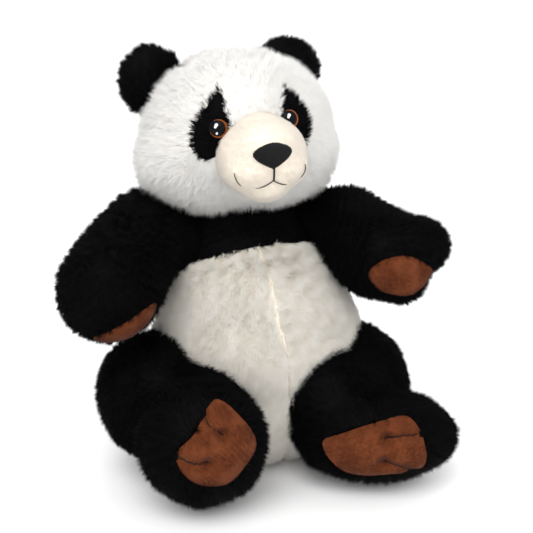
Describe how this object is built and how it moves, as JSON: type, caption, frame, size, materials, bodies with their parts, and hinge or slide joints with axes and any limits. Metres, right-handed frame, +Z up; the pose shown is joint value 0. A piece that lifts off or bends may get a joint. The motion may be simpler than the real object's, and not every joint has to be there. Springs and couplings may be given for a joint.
{
  "type": "plush panda",
  "caption": "Seated plush panda with long white and black pile, suede palm and sole pads, safety eyes and an embroidered nose.",
  "frame": {"origin": "bottom centre of the bounding box, on the surface that the toy sits on", "axes": "+Z up, the face looks along -Y, the toy's own left side is at +X"},
  "size_m": [0.233, 0.1804, 0.2628],
  "materials": {
    "white_pile": "long silky pile",
    "belly_pile": "woolly pile",
    "black_pile": "dense pile",
    "muzzle_plush": "short pile",
    "brown_suede": "short nap",
    "black_thread": "satin stitch",
    "white_thread": "matte thread",
    "pellet_cloth": "plain weave",
    "stuffing": "polyester fibre",
    "eye_plastic": "gloss",
    "washer_plastic": "matte"
  },
  "bodies": {
    "torso": {"bean_bag": "pellet_cloth", "belly_panel_left": "belly_pile", "belly_panel_right": "belly_pile", "body_filling": "stuffing", "chest_panel": "black_pile", "closing_seam": "white_thread", "lower_back_panel_left": "white_pile", "lower_back_panel_right": "white_pile", "seat_panel": "white_pile", "tail": "white_pile", "upper_back_panel": "black_pile"},
    "neck": {"neck_cover": "black_pile", "neck_filling": "stuffing"},
    "head": {"chin_panel": "white_pile", "eye_left": "eye_plastic", "eye_patch_left": "black_pile", "eye_patch_right": "black_pile", "eye_right": "eye_plastic", "eye_washer_left": "washer_plastic", "eye_washer_right": "washer_plastic", "head_back_panel": "white_pile", "head_crown_panel": "white_pile", "head_filling": "stuffing", "head_side_panel_left": "white_pile", "head_side_panel_right": "white_pile", "mouth_stitching": "black_thread", "muzzle_cover": "muzzle_plush", "muzzle_filling": "stuffing", "nose": "black_thread"},
    "ear_left": {"ear_back_left": "black_pile", "ear_front_left": "black_pile"},
    "ear_right": {"ear_back_right": "black_pile", "ear_front_right": "black_pile"},
    "arm_left": {"arm_filling_left": "white_pile", "arm_inner_panel_left": "black_pile", "arm_outer_panel_left": "black_pile", "palm_pad_left": "brown_suede"},
    "arm_right": {"arm_filling_right": "white_pile", "arm_inner_panel_right": "black_pile", "arm_outer_panel_right": "black_pile", "palm_pad_right": "brown_suede"},
    "leg_left": {"leg_filling_left": "white_pile", "leg_lower_panel_left": "black_pile", "leg_upper_panel_left": "black_pile", "sole_pad_left": "brown_suede", "toe_stitches_left": "black_thread"},
    "leg_right": {"leg_filling_right": "white_pile", "leg_lower_panel_right": "black_pile", "leg_upper_panel_right": "black_pile", "sole_pad_right": "brown_suede", "toe_stitches_right": "black_thread"}
  },
  "joints": [
    {"name": "neck_nod", "type": "hinge", "parent": "torso", "child": "neck", "pos_m": [0.00851, 0.03918, 0.1571], "axis": [1, 0, 0], "range_deg": [-12, 12], "stiffness_Nm_per_rad": 2},
    {"name": "head_turn", "type": "hinge", "parent": "neck", "child": "head", "pos_m": [0.00851, 0.03918, 0.1571], "axis": [-0.0682, 0.2079, 0.9758], "range_deg": [-20, 20], "stiffness_Nm_per_rad": 2},
    {"name": "ear_fold_left", "type": "hinge", "parent": "head", "child": "ear_left", "pos_m": [0.05501, 0.04821, 0.24308], "axis": [0.7358, -0.2487, -0.6299], "range_deg": [-20, 20], "stiffness_Nm_per_rad": 0.02},
    {"name": "ear_fold_right", "type": "hinge", "parent": "head", "child": "ear_right", "pos_m": [-0.04352, 0.04821, 0.23791], "axis": [0.6659, 0.2487, 0.7033], "range_deg": [-20, 20], "stiffness_Nm_per_rad": 0.02},
    {"name": "arm_lift_left", "type": "hinge", "parent": "torso", "child": "arm_left", "pos_m": [0.0625, 0.02571, 0.142], "axis": [-0.9066, -0.422, 0], "range_deg": [-15, 35], "stiffness_Nm_per_rad": 0.8},
    {"name": "arm_lift_right", "type": "hinge", "parent": "torso", "child": "arm_right", "pos_m": [-0.0405, 0.02571, 0.141], "axis": [-0.578, 0.816, 0], "range_deg": [-5, 35], "stiffness_Nm_per_rad": 0.8},
    {"name": "leg_lift_left", "type": "hinge", "parent": "torso", "child": "leg_left", "pos_m": [0.0695, 0.00171, 0.041], "axis": [-0.9981, 0.0624, 0], "range_deg": [0, 18], "stiffness_Nm_per_rad": 1},
    {"name": "leg_lift_right", "type": "hinge", "parent": "torso", "child": "leg_right", "pos_m": [-0.0465, 0.00771, 0.043], "axis": [-0.9965, -0.083, 0], "range_deg": [0, 15], "stiffness_Nm_per_rad": 1}
  ]
}
